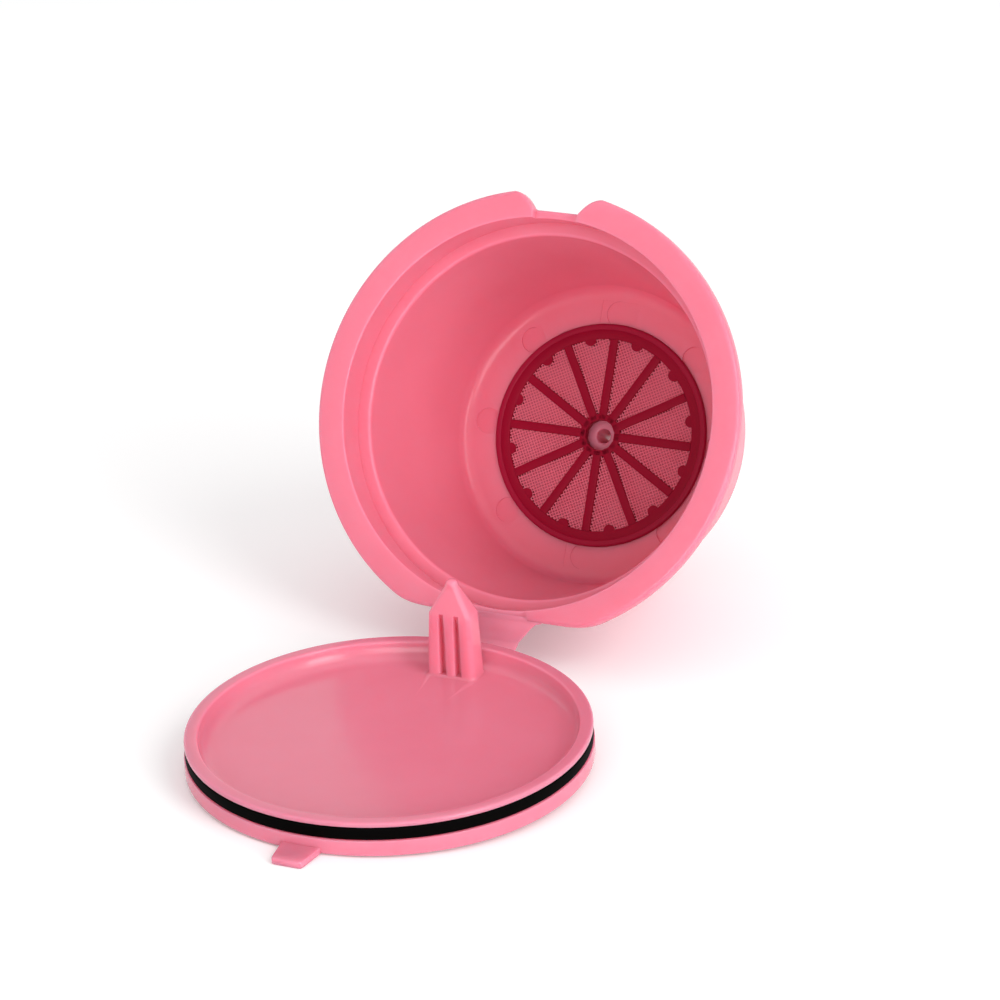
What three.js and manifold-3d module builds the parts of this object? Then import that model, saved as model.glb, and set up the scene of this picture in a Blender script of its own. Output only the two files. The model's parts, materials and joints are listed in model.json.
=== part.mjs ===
// Reusable coffee capsule, open, as it lies on a table: the lid on its outer face at the front,
// the cup tipped back on the edge of its bottom. Millimetres, +Z up, the ground at z = 0.
// X runs along the hinge, and +Y goes from the lid's tab towards the cup.
import * as THREE from 'three';
import { mergeVertices } from 'three/addons/utils/BufferGeometryUtils.js';
import Module from 'manifold-3d';

const wasm = await Module();
wasm.setup();

// Clearances and fineness; JOIN is how far one part of a moulding reaches into the next
const GAP = 0.3;
const JOIN = 1;
const LATHE_STEPS = 60;
const CUT_MARGIN = 3;
const CUT_BELOW = 0.2;

// Cup: radii and depths below its mouth
const FLANGE_W = 2.5;
const FLANGE_T = 1.6;
const FLANGE_ROUND = 0.6;
const FLANGE_EDGE = 0.3;
const MOUTH_EDGE = 0.15;
const SEAT_R = 23.6;
const SEAT_DEPTH = 4.6;
const SEAT_WALL = 0.9;
const LEDGE_W = 1.2;
const LEDGE_ROUND = 0.7;
const LEDGE_SLOPE = 0.42;
const WALL = 1.1;
const FLOOR_R = 18.6;
const FLOOR_DEPTH = 26.3;
const FLOOR_ROUND = 1.6;
const FLOOR_FLARE = 0.2;
const FLOOR_T = 1.1;
const BOTTOM_WALL = 0.9;
const BOTTOM_ROUND = 3.2;
const CHAMBER_DEPTH = 1.3;
const CHAMBER_SLOPE = 0.4;
const CHAMBER_WALL = 1.54;
const CHAMBER_ROUND = 1;
const OUTLET_R = 1;
const NOZZLE_R = 2.6;
const NOZZLE_TAPER = 0.3;
const NOZZLE_LENGTH = 2;

// Notch for the tab
const NOTCH_HALF = 2.9;
const NOTCH_TOP_HALF = 5.6;
const NOTCH_FLARE = 1.5;
const SHOULDER_ACROSS = 1.2;
const SHOULDER_OUT = 1.8;

// Ejector marks on the floor
const MARK_COUNT = 8;
const MARK_R = 1.6;
const MARK_DEPTH = 0.15;

// Filter grid and filter mesh
const GRID_R = 13.4;
const GRID_T = 1;
const GRID_RIM = 1.3;
const SPOKES = 12;
const SPOKE_W = 1.1;
const HUB_R = 2.7;
const HUB_HOLE_R = 1.9;
const TOOTH_H = 0.7;
const TOOTH_BASE_HALF = 0.9;
const TOOTH_TIP_HALF = 0.4;
const GRID_STEP = 0.1;
const GRID_SEAT_LEDGE = 1;
const MESH_SETBACK = 0.3;
const MESH_RIM = 0.6;
const MESH_PITCH = 2.25;
const MESH_RIDGE_W = 0.9;
const MESH_RIDGE_T = 0.22;
const MESH_SINK = 0.05;

// Lid: radii, and heights above its outer face
const LID_R = SEAT_R - GAP;
const LID_H = SEAT_DEPTH - 0.5;
const BAND_H = 1.9;
const GROOVE_H = 1.6;
const GROOVE_DEPTH = 0.9;
const LIP_SETBACK = 0.1;
const LIP_W = 1.6;
const LID_FLOOR_H = 2;
const RECESS_TAPER = 0.2;
const RECESS_CORNER = 0.5;
const RECESS_RISE = 0.9;
const RECESS_SLOPE = 2.1;
const EDGE_ROUND = 0.35;
const TAB_REACH = 3.7;
const TAB_T = 0.8;
const TAB_BASE_HALF = 2.35;
const TAB_END_HALF = 1.85;

// Water guide post that stands on the lid
const POST_W = 6;
const POST_TOP_W = 5.4;
const POST_DEPTH = 3.3;
const POST_TOP_DEPTH = 3;
const POST_INSET = 3;
const POST_ROOT = 0.5;
const POST_TOP_H = 14;
const POST_SHOULDER_H = 9.9;
const POST_TIP_W = 1.1;
const SLOT_W = 0.7;
const SLOT_SPACING = 1.9;
const SLOT_DEPTH = 1.1;
const SLOT_TOP_H = 9.4;
const SLOT_FOOT = 0.3;

// Sealing ring in the lid's groove
const RING_INSET = 0.15;
const RING_ROUND = 0.3;

// Strap: two thin leaves that meet at a fold
const FOLD_REACH = 1.4;
const FOLD_DEPTH = 0.5;
const LEAF_T = 0.4;
const FOLD_GAP = 0.15;
const STRAP_HALF_AT_FOLD = 3.1;
const STRAP_HALF_AT_LID = 3.9;
const STRAP_HALF_AT_CUP = 5.4;

// Pose: how far the lid stands open from its closed place
const OPEN_DEG = 118;

const PINK = 0xf08098;
const CRIMSON = 0x96142c;
const BLACK = 0x101010;

const OUTER_SEAT_R = SEAT_R + SEAT_WALL;
const FLANGE_R = OUTER_SEAT_R + FLANGE_W;
const LEDGE_R = SEAT_R - LEDGE_W;
const BOWL_TOP_DEPTH = SEAT_DEPTH + LEDGE_ROUND;
const BOWL_TOP_R = LEDGE_R - LEDGE_SLOPE;
const BOTTOM_DEPTH = FLOOR_DEPTH + FLOOR_T;
const BOTTOM_R = FLOOR_R + BOTTOM_WALL;
const GRID_SEAT_R = GRID_R + GAP;
const MESH_R = GRID_R - MESH_SETBACK;
const GRID_TOP_DEPTH = FLOOR_DEPTH - GRID_STEP;
const GRID_BOTTOM_DEPTH = GRID_TOP_DEPTH + GRID_T;
const GRID_SEAT_DEPTH = GRID_BOTTOM_DEPTH + GAP;
const CHAMBER_R = GRID_SEAT_R - GRID_SEAT_LEDGE;
const CHAMBER_FLOOR_DEPTH = GRID_SEAT_DEPTH + CHAMBER_DEPTH;
const CHAMBER_OUTER_R = CHAMBER_R + CHAMBER_WALL;
const CHAMBER_BOTTOM_DEPTH = CHAMBER_FLOOR_DEPTH + WALL;
const FOLD_R = FLANGE_R + FOLD_REACH;
const POST_FRONT_R = LID_R - POST_INSET - POST_DEPTH;
const OPEN = THREE.MathUtils.degToRad(OPEN_DEG);

// Turns a closed geometry into a solid, facing outwards whichever way its profile ran
function solid(geometry) {
  const bare = geometry.index ? geometry.toNonIndexed() : geometry.clone();
  bare.deleteAttribute('normal');
  bare.deleteAttribute('uv');
  const merged = mergeVertices(bare, 1e-4);
  const points = merged.getAttribute('position').array;
  const faces = [];
  const index = merged.index.array;
  const a = new THREE.Vector3();
  const b = new THREE.Vector3();
  const c = new THREE.Vector3();
  let volume = 0;
  for (let i = 0; i < index.length; i += 3) {
    const [p, q, r] = [index[i], index[i + 1], index[i + 2]];
    if (p === q || q === r || r === p) continue;
    faces.push(p, q, r);
    a.fromArray(points, p * 3);
    b.fromArray(points, q * 3);
    c.fromArray(points, r * 3);
    volume += a.dot(b.cross(c));
  }
  if (volume < 0) faces.reverse();
  return new wasm.Manifold(
    new wasm.Mesh({
      numProp: 3,
      vertProperties: new Float32Array(points),
      triVerts: new Uint32Array(faces),
    }),
  );
}

// A named mesh from a finished solid
function meshOf(name, body, color, roughness) {
  const { vertProperties, triVerts } = body.getMesh();
  const geometry = new THREE.BufferGeometry();
  geometry.setAttribute('position', new THREE.BufferAttribute(new Float32Array(vertProperties), 3));
  geometry.setIndex(new THREE.BufferAttribute(new Uint32Array(triVerts), 1));
  geometry.computeVertexNormals();
  const material = new THREE.MeshStandardMaterial({ color, roughness, metalness: 0 });
  const mesh = new THREE.Mesh(geometry, material);
  mesh.name = name;
  return mesh;
}

// A turned solid about Z from a closed profile of [radius, height] points
function turned(profile) {
  const points = profile.map(([r, z]) => new THREE.Vector2(r, z));
  points.push(points[0].clone());
  const geometry = new THREE.LatheGeometry(points, LATHE_STEPS);
  geometry.rotateX(Math.PI / 2);
  return solid(geometry);
}

// Points along a quarter bend from one point to the next, round a shared corner
function bend([r0, z0], [cornerR, cornerZ], [r1, z1], steps = 3) {
  const curve = new THREE.QuadraticBezierCurve(
    new THREE.Vector2(r0, z0),
    new THREE.Vector2(cornerR, cornerZ),
    new THREE.Vector2(r1, z1),
  );
  return curve.getPoints(steps).map((p) => [p.x, p.y]);
}

// A plate from an outline of [x, y] points, between two heights
function plate(outline, low, high) {
  const shape = new THREE.Shape(outline.map(([x, y]) => new THREE.Vector2(x, y)));
  const geometry = new THREE.ExtrudeGeometry(shape, { depth: high - low, bevelEnabled: false });
  geometry.translate(0, 0, low);
  return solid(geometry);
}

function disc(radius, low, high) {
  const geometry = new THREE.CylinderGeometry(radius, radius, high - low, LATHE_STEPS);
  geometry.rotateX(Math.PI / 2);
  geometry.translate(0, 0, (low + high) / 2);
  return solid(geometry);
}

// The rounded edge between the cup's outer wall and its bottom
function bottomEdge() {
  return bend([BOTTOM_R, BOTTOM_ROUND - BOTTOM_DEPTH], [BOTTOM_R, -BOTTOM_DEPTH],
    [BOTTOM_R - BOTTOM_ROUND, -BOTTOM_DEPTH], 6);
}

// The cup's wall, floor, lower chamber and nozzle in one turned profile; depths run down from the mouth
function cupProfile() {
  const low = (r, depth) => [r, -depth];
  const noseR = FLANGE_R - FLANGE_ROUND;
  return [
    low(SEAT_R, SEAT_DEPTH),
    low(SEAT_R, MOUTH_EDGE),
    low(SEAT_R + MOUTH_EDGE, 0),
    ...bend(low(noseR, 0), low(FLANGE_R, 0), low(FLANGE_R, FLANGE_ROUND)),
    low(FLANGE_R, FLANGE_T - FLANGE_EDGE),
    low(FLANGE_R - FLANGE_EDGE, FLANGE_T),
    low(OUTER_SEAT_R, FLANGE_T),
    low(OUTER_SEAT_R, SEAT_DEPTH),
    low(BOWL_TOP_R + WALL, BOWL_TOP_DEPTH + WALL),
    ...bottomEdge(),
    low(CHAMBER_OUTER_R, BOTTOM_DEPTH),
    ...bend(low(CHAMBER_OUTER_R, CHAMBER_BOTTOM_DEPTH - CHAMBER_ROUND),
      low(CHAMBER_OUTER_R, CHAMBER_BOTTOM_DEPTH),
      low(CHAMBER_OUTER_R - CHAMBER_ROUND, CHAMBER_BOTTOM_DEPTH), 2),
    low(NOZZLE_R, CHAMBER_BOTTOM_DEPTH),
    low(NOZZLE_R - NOZZLE_TAPER, CHAMBER_BOTTOM_DEPTH + NOZZLE_LENGTH),
    low(OUTLET_R, CHAMBER_BOTTOM_DEPTH + NOZZLE_LENGTH),
    low(OUTLET_R, CHAMBER_FLOOR_DEPTH),
    low(CHAMBER_R, CHAMBER_FLOOR_DEPTH - CHAMBER_SLOPE),
    low(CHAMBER_R, GRID_SEAT_DEPTH),
    low(GRID_SEAT_R, GRID_SEAT_DEPTH),
    low(GRID_SEAT_R, FLOOR_DEPTH),
    ...bend(low(FLOOR_R - FLOOR_ROUND, FLOOR_DEPTH), low(FLOOR_R, FLOOR_DEPTH),
      low(FLOOR_R + FLOOR_FLARE, FLOOR_DEPTH - FLOOR_ROUND)),
    ...bend(low(BOWL_TOP_R, BOWL_TOP_DEPTH), low(BOWL_TOP_R, SEAT_DEPTH), low(LEDGE_R, SEAT_DEPTH), 2),
  ];
}

// The notch's outline from its floor to past the flange, with soft shoulders
function notchOutline() {
  const floor = -OUTER_SEAT_R;
  const rim = -Math.sqrt(FLANGE_R ** 2 - NOTCH_TOP_HALF ** 2);
  const far = -FLANGE_R - CUT_MARGIN;
  const corner = [NOTCH_HALF + SHOULDER_ACROSS, floor - SHOULDER_OUT];
  const shoulder = bend([NOTCH_HALF, floor], corner, [NOTCH_TOP_HALF, rim], 4);
  const right = [...shoulder, [NOTCH_TOP_HALF + NOTCH_FLARE, far]];
  const left = right.map(([x, y]) => [-x, y]).reverse();
  return [...right, ...left];
}

// The strap's leaf on the cup, from inside the seat's wall out to the fold; y points to the hinge
function cupLeaf() {
  const outline = [
    [-STRAP_HALF_AT_CUP, OUTER_SEAT_R - SEAT_WALL / 2],
    [STRAP_HALF_AT_CUP, OUTER_SEAT_R - SEAT_WALL / 2],
    [STRAP_HALF_AT_CUP, OUTER_SEAT_R],
    [STRAP_HALF_AT_FOLD, FOLD_R - FOLD_GAP],
    [-STRAP_HALF_AT_FOLD, FOLD_R - FOLD_GAP],
    [-STRAP_HALF_AT_CUP, OUTER_SEAT_R],
  ];
  const top = -FOLD_DEPTH - FOLD_GAP;
  return plate(outline, top - LEAF_T, top);
}

function ejectorMarks() {
  const ringR = (GRID_SEAT_R + FLOOR_R - FLOOR_ROUND) / 2;
  const marks = [];
  for (let i = 0; i < MARK_COUNT; i += 1) {
    const angle = (i / MARK_COUNT) * Math.PI * 2 + Math.PI / 2;
    const geometry = new THREE.CylinderGeometry(MARK_R, MARK_R, MARK_DEPTH * 2, 16);
    geometry.rotateX(Math.PI / 2);
    geometry.translate(ringR * Math.cos(angle), ringR * Math.sin(angle), -FLOOR_DEPTH);
    marks.push(solid(geometry));
  }
  return marks;
}

function makeCup() {
  const wide = FLANGE_R + CUT_MARGIN;
  const square = (half, near, far) => [[-half, near], [half, near], [half, far], [-half, far]];
  let cup = turned(cupProfile());
  cup = cup.subtract(plate(notchOutline(), -FLANGE_T - CUT_BELOW, CUT_MARGIN));
  cup = cup.subtract(plate(square(NOTCH_HALF, -wide, JOIN - SEAT_R), -TAB_T - GAP, CUT_MARGIN));
  cup = cup.subtract(plate(square(wide, OUTER_SEAT_R, wide), -FLANGE_T - CUT_BELOW, CUT_MARGIN));
  const channel = square(STRAP_HALF_AT_LID + GAP, SEAT_R - JOIN, wide);
  cup = cup.subtract(plate(channel, -FOLD_DEPTH - FOLD_GAP, CUT_MARGIN));
  ejectorMarks().forEach((mark) => {
    cup = cup.subtract(mark);
  });
  cup = cup.add(cupLeaf());
  return meshOf('capsule_cup', cup, PINK, 0.35);
}

// One window of the grid: a sector between two spokes, with a small tooth on its outer edge
function gridWindow(index) {
  const middle = ((index + 0.5) / SPOKES) * Math.PI * 2;
  const half = Math.PI / SPOKES;
  const outer = GRID_R - GRID_RIM;
  const edge = (radius) => half - Math.asin(SPOKE_W / 2 / radius);
  const at = (radius, angle) => new THREE.Vector2(radius * Math.cos(angle), radius * Math.sin(angle));
  const points = [];
  const innerR = Math.max(HUB_R, SPOKE_W / 2 / Math.sin(half) + GAP);
  const toothBase = TOOTH_BASE_HALF / outer;
  const toothTip = TOOTH_TIP_HALF / outer;
  points.push(at(innerR, middle - edge(innerR)));
  points.push(at(outer, middle - edge(outer)));
  points.push(at(outer, middle - toothBase));
  points.push(at(outer - TOOTH_H, middle - toothTip));
  points.push(at(outer - TOOTH_H, middle + toothTip));
  points.push(at(outer, middle + toothBase));
  points.push(at(outer, middle + edge(outer)));
  points.push(at(innerR, middle + edge(innerR)));
  return new THREE.Path(points);
}

function makeGrid() {
  const shape = new THREE.Shape();
  shape.absarc(0, 0, GRID_R, 0, Math.PI * 2, false);
  for (let i = 0; i < SPOKES; i += 1) shape.holes.push(gridWindow(i));
  const hub = new THREE.Path();
  hub.absarc(0, 0, HUB_HOLE_R, 0, Math.PI * 2, true);
  shape.holes.push(hub);
  const options = { depth: GRID_T, bevelEnabled: false, curveSegments: LATHE_STEPS / 2 };
  const geometry = new THREE.ExtrudeGeometry(shape, options);
  geometry.translate(0, 0, -GRID_BOTTOM_DEPTH);
  return meshOf('filter_grid', solid(geometry), CRIMSON, 0.4);
}

// The woven filter as crossing ridges in one disc, with a rim and a ring round the hub's hole
function makeFilterMesh() {
  const low = -GRID_TOP_DEPTH + GAP / 2;
  const mid = low + MESH_RIDGE_T;
  const high = mid + MESH_RIDGE_T;
  const ring = (outer, inner) => disc(outer, low, high).subtract(disc(inner, low - JOIN, high + JOIN));
  const count = Math.floor(MESH_R / MESH_PITCH);
  let ridges = ring(MESH_R, MESH_R - MESH_RIM).add(ring(HUB_R, HUB_HOLE_R));
  const keep = ring(MESH_R - MESH_RIM / 2, (HUB_R + HUB_HOLE_R) / 2);
  for (let i = -count; i <= count; i += 1) {
    const across = i * MESH_PITCH;
    const [a, b] = [across - MESH_RIDGE_W / 2, across + MESH_RIDGE_W / 2];
    const alongX = plate([[-MESH_R, a], [MESH_R, a], [MESH_R, b], [-MESH_R, b]], low, mid + MESH_SINK);
    const alongY = plate([[a, -MESH_R], [b, -MESH_R], [b, MESH_R], [a, MESH_R]], mid - MESH_SINK, high);
    ridges = ridges.add(alongX.add(alongY).intersect(keep));
  }
  return meshOf('filter_mesh', ridges, PINK, 0.5);
}

// The lid's round body: outer face at height 0, band, ring groove, lip and recess
function lidProfile() {
  const grooveR = LID_R - GROOVE_DEPTH;
  const lipR = LID_R - LIP_SETBACK;
  const lipLow = BAND_H + GROOVE_H;
  const innerR = lipR - LIP_W;
  return [
    [0, 0],
    ...bend([LID_R - EDGE_ROUND, 0], [LID_R, 0], [LID_R, EDGE_ROUND], 2),
    [LID_R, BAND_H],
    [grooveR, BAND_H],
    [grooveR, lipLow],
    [lipR, lipLow],
    ...bend([lipR, LID_H - EDGE_ROUND], [lipR, LID_H], [lipR - EDGE_ROUND, LID_H], 2),
    ...bend([innerR + EDGE_ROUND, LID_H], [innerR, LID_H], [innerR, LID_H - EDGE_ROUND], 2),
    ...bend([innerR - RECESS_TAPER, LID_FLOOR_H + RECESS_RISE], [innerR - RECESS_CORNER, LID_FLOOR_H],
      [innerR - RECESS_SLOPE, LID_FLOOR_H]),
    [0, LID_FLOOR_H],
  ];
}

// A frustum between two rectangles, each given as [x half, y low, y high, z]
function wedge([halfA, lowA, highA, zA], [halfB, lowB, highB, zB]) {
  const corner = (half, low, high, z) => [[-half, low, z], [half, low, z], [half, high, z], [-half, high, z]];
  const points = [...corner(halfA, lowA, highA, zA), ...corner(halfB, lowB, highB, zB)];
  const quads = [[0, 3, 2, 1], [4, 5, 6, 7], [0, 1, 5, 4], [1, 2, 6, 5], [2, 3, 7, 6], [3, 0, 4, 7]];
  const position = [];
  quads.forEach(([a, b, c, d]) => {
    [a, b, c, a, c, d].forEach((k) => position.push(...points[k]));
  });
  const geometry = new THREE.BufferGeometry();
  geometry.setAttribute('position', new THREE.Float32BufferAttribute(position, 3));
  return solid(geometry);
}

function makePost() {
  const back = POST_FRONT_R + POST_DEPTH;
  const middle = POST_FRONT_R + POST_DEPTH / 2;
  const foot = LID_FLOOR_H - POST_ROOT;
  const top = [POST_TOP_W / 2, middle - POST_TOP_DEPTH / 2, middle + POST_TOP_DEPTH / 2, POST_SHOULDER_H];
  const tip = [POST_TIP_W / 2, middle - POST_TIP_W / 2, middle + POST_TIP_W / 2, POST_TOP_H];
  let post = wedge([POST_W / 2, POST_FRONT_R, back, foot], top).add(wedge(top, tip));
  const slotEnds = [
    [POST_FRONT_R - JOIN, POST_FRONT_R + SLOT_DEPTH],
    [back - SLOT_DEPTH, back + JOIN],
  ];
  [-SLOT_SPACING / 2, SLOT_SPACING / 2].forEach((x) => {
    const [a, b] = [x - SLOT_W / 2, x + SLOT_W / 2];
    slotEnds.forEach(([near, far]) => {
      const slot = plate([[a, near], [b, near], [b, far], [a, far]], LID_FLOOR_H + SLOT_FOOT, SLOT_TOP_H);
      post = post.subtract(slot);
    });
  });
  return post;
}

function makeLid() {
  const inside = LID_R - JOIN;
  const tab = [
    [TAB_BASE_HALF, -inside],
    [-TAB_BASE_HALF, -inside],
    [-TAB_BASE_HALF, -LID_R],
    [-TAB_END_HALF, -LID_R - TAB_REACH],
    [TAB_END_HALF, -LID_R - TAB_REACH],
    [TAB_BASE_HALF, -LID_R],
  ];
  const leaf = [
    [-STRAP_HALF_AT_LID, inside],
    [STRAP_HALF_AT_LID, inside],
    [STRAP_HALF_AT_FOLD, FOLD_R - FOLD_GAP],
    [-STRAP_HALF_AT_FOLD, FOLD_R - FOLD_GAP],
  ];
  const leafHigh = FOLD_DEPTH - FOLD_GAP;
  const lid = turned(lidProfile()).add(makePost()).add(plate(tab, 0, TAB_T)).add(plate(leaf, 0, leafHigh));
  return meshOf('lid', lid, PINK, 0.3);
}

function makeRing() {
  const inner = LID_R - GROOVE_DEPTH + GAP / 2;
  const outer = LID_R - RING_INSET;
  const low = BAND_H + GAP / 2;
  const high = BAND_H + GROOVE_H - GAP / 2;
  const profile = [
    [inner, low],
    ...bend([outer - RING_ROUND, low], [outer, low], [outer, low + RING_ROUND], 2),
    ...bend([outer, high - RING_ROUND], [outer, high], [outer - RING_ROUND, high], 2),
    [inner, high],
  ];
  return meshOf('sealing_ring', turned(profile), BLACK, 0.6);
}

// In the plane across the hinge, with y away from the tab and z up from the lid's outer face:
// the fold is at (FOLD_R, FOLD_DEPTH) on the lid, and on the cup at FOLD_R from its axis.
function cupPlacement() {
  const tilt = OPEN - Math.PI / 2;
  const [sin, cos] = [Math.sin(tilt), Math.cos(tilt)];
  const mouthY = FOLD_R + FOLD_R * sin - FOLD_DEPTH * cos;
  const mouthZ = FOLD_DEPTH + FOLD_R * cos + FOLD_DEPTH * sin;
  const place = (r, depth) => [mouthY - r * sin + depth * cos, mouthZ - r * cos - depth * sin];
  return { tilt, mouthY, mouthZ, place };
}

// The lid leans a little, so that the tab's end and the cup's rounded bottom edge both touch the ground
function lidLean() {
  const { place } = cupPlacement();
  const slopes = bottomEdge().map(([r, height]) => {
    const [y, z] = place(r, -height);
    return Math.atan2(z, y + LID_R + TAB_REACH);
  });
  return -Math.min(...slopes);
}

function makeCapsule() {
  const { tilt, mouthY, mouthZ } = cupPlacement();
  const lidGroup = new THREE.Group();
  lidGroup.add(makeLid(), makeRing());

  const cupGroup = new THREE.Group();
  cupGroup.add(makeCup(), makeGrid(), makeFilterMesh());
  cupGroup.position.set(0, mouthY, mouthZ);
  // The cup's own +Y points to the hinge, which is downwards here, and its +Z out of the mouth
  cupGroup.rotation.set(Math.PI / 2 - tilt, 0, Math.PI);

  const leaning = new THREE.Group();
  leaning.add(lidGroup, cupGroup);
  leaning.rotation.x = lidLean();

  const capsule = new THREE.Group();
  capsule.add(leaning);
  capsule.updateMatrixWorld(true);
  const box = new THREE.Box3().setFromObject(capsule, true);
  leaning.position.set(0, -(box.min.y + box.max.y) / 2, -box.min.z);
  capsule.updateMatrixWorld(true);
  return capsule;
}

export default makeCapsule();
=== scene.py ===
# %% [markdown]
# # A refillable coffee capsule
# The capsule is one pink moulding, a cup and a lid joined by a thin strap, with a black ring on
# the lid and a red filter in the cup's floor. The solid model gives its sizes and its motion.
# Here each piece is made again with the fine rounds, fillets and weave that the eye looks for,
# in the place where the solid model has it.

# %% Load the frame
import json
import math

import bmesh
import bpy
import numpy as np
from mathutils import Matrix, Vector

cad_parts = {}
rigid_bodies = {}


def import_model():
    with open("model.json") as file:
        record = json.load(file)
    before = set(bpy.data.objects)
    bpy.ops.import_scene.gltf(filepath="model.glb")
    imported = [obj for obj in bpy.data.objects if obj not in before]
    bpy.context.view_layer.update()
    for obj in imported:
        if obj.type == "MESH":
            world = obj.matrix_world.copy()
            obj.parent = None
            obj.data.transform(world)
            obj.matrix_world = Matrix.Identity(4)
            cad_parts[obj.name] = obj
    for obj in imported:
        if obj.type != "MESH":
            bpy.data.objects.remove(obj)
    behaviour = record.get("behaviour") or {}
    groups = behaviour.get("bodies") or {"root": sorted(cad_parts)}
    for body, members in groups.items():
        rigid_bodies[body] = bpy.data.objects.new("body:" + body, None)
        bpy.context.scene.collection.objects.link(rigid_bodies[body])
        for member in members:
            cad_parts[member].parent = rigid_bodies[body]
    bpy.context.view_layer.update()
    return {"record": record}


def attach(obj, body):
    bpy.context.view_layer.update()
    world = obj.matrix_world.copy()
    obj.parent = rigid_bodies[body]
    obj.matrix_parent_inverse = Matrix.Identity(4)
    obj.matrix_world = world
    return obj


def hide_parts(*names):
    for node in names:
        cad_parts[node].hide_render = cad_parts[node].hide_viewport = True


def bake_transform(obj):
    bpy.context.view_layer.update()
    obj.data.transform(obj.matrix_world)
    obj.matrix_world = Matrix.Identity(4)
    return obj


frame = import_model()

# %% [markdown]
# ## Sizes and places
# A maker's drawing gives each part in its own simple frame: the cup round its axis, with depths
# measured from the mouth, and the lid round its axis, with heights from its outer face. The same
# is done here in millimetres. The record's mounts say where the two frames lie, so if the solid
# model moves, everything below moves with it.

# %% Two frames from the record
MM = 0.001
mounts = {mount["name"]: mount for mount in frame["record"]["mounts"]}
FLANGE_MOUNT_R = 25.6


def part_frame(origin, across, up):
    """A matrix that takes a part's millimetres into the frame's metres."""
    along = up.cross(across)
    turn = Matrix((across, along, up)).transposed().to_4x4()
    return Matrix.Translation(origin) @ turn @ Matrix.Scale(MM, 4)


FLANGE_T = 1.6
cup_out = -Vector(mounts["flange_underside"]["axis"]).normalized()
mouth = Vector(mounts["flange_underside"]["pos_m"]) + FLANGE_T * MM * cup_out
mouth.x -= FLANGE_MOUNT_R * MM
cup_frame = part_frame(mouth, Vector((-1, 0, 0)), cup_out)

lid_up = -Vector(mounts["lid_outer_face"]["axis"]).normalized()
lid_frame = part_frame(Vector(mounts["lid_outer_face"]["pos_m"]), Vector((1, 0, 0)), lid_up)
print("mouth's centre:", mouth[:], "lid's centre:", lid_frame.translation[:])

# %% Sizes in millimetres
GAP = 0.3
FLANGE_W = 2.5
FLANGE_ROUND = 0.6
SEAT_R = 23.6
SEAT_DEPTH = 4.6
SEAT_WALL = 0.9
OUTER_SEAT_R = SEAT_R + SEAT_WALL
FLANGE_R = OUTER_SEAT_R + FLANGE_W
LEDGE_R = SEAT_R - 1.2
BOWL_TOP_R = LEDGE_R - 0.42
BOWL_TOP_DEPTH = SEAT_DEPTH + 0.7
WALL = 1.1
FLOOR_R = 18.6
FLOOR_DEPTH = 26.3
FLOOR_ROUND = 1.6
BOTTOM_R = FLOOR_R + 0.9
BOTTOM_DEPTH = FLOOR_DEPTH + WALL
BOTTOM_ROUND = 3.2
GRID_R = 13.4
GRID_T = 1
GRID_TOP_DEPTH = FLOOR_DEPTH - 0.1
GRID_SEAT_R = GRID_R + GAP
GRID_SEAT_DEPTH = GRID_TOP_DEPTH + GRID_T + GAP
CHAMBER_R = GRID_SEAT_R - 1
CHAMBER_OUTER_R = CHAMBER_R + 1.54
CHAMBER_FLOOR_DEPTH = GRID_SEAT_DEPTH + 1.3
CHAMBER_BOTTOM_DEPTH = CHAMBER_FLOOR_DEPTH + WALL
CHAMBER_ROUND = 1.2
OUTLET_R = 0.9
OUTLET_END_R = 0.3
BOSS_R = 2.3
BOSS_DEPTH = GRID_SEAT_DEPTH - 0.05
NOZZLE_R = 2.6
NOZZLE_END_DEPTH = CHAMBER_BOTTOM_DEPTH + 2
LID_R = SEAT_R - GAP
LID_H = SEAT_DEPTH - 0.5
BAND_H = 1.9
GROOVE_H = 1.6
GROOVE_DEPTH = 0.9
LIP_R = LID_R - 0.1
LIP_INNER_R = LIP_R - 1.6
LID_FLOOR_H = 2
TAB_T = 0.8
TAB_REACH = 3.7
FOLD_R = FLANGE_R + 1.4
FOLD_DEPTH = 0.5
STRAP_T = 0.3
STRAP_HALF_AT_LID = 3.9
print("flange across:", 2 * FLANGE_R, "mm, lid across:", 2 * LID_R, "mm")

# %% [markdown]
# ## The camera
# The photograph was taken from a little to the right of the lid's tab, looking down by a little
# over twenty degrees, with a long lens. The camera's place was worked out from the outlines of
# the flange, the filter and the lid, and is written here in the lid's own frame, in millimetres.

# %% Camera
CAMERA_FROM_LID = Vector((184.48, -373.88, 216.57))
YAW = math.radians(-24.379)
DOWN = math.radians(23.968)
ROLL = math.radians(-2.501)
FOCAL_PIXELS = 4130
IMAGE_PIXELS = 1000
SENSOR_MM = 36

forward = Vector((math.sin(YAW) * math.cos(DOWN), math.cos(YAW) * math.cos(DOWN), -math.sin(DOWN)))
level = Vector((math.cos(YAW), -math.sin(YAW), 0))
right = math.cos(ROLL) * level + math.sin(ROLL) * level.cross(forward)
above = right.cross(forward)
camera_data = bpy.data.cameras.new("camera")
camera_data.sensor_width = SENSOR_MM
camera_data.lens = SENSOR_MM * FOCAL_PIXELS / IMAGE_PIXELS
camera_data.clip_start = 0.01
camera = bpy.data.objects.new("camera", camera_data)
turn = Matrix((right, above, -forward)).transposed().to_4x4()
camera.matrix_world = lid_frame @ Matrix.Translation(CAMERA_FROM_LID) @ turn @ Matrix.Scale(1 / MM, 4)
bpy.context.scene.collection.objects.link(camera)
bpy.context.scene.camera = camera
print("lens:", round(camera_data.lens, 2), "mm")

# %% [markdown]
# ## Helpers for node trees
# Materials and generated meshes are both built from nodes. One function that adds a node, sets
# it and links it keeps each tree short enough to read as a recipe.

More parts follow.
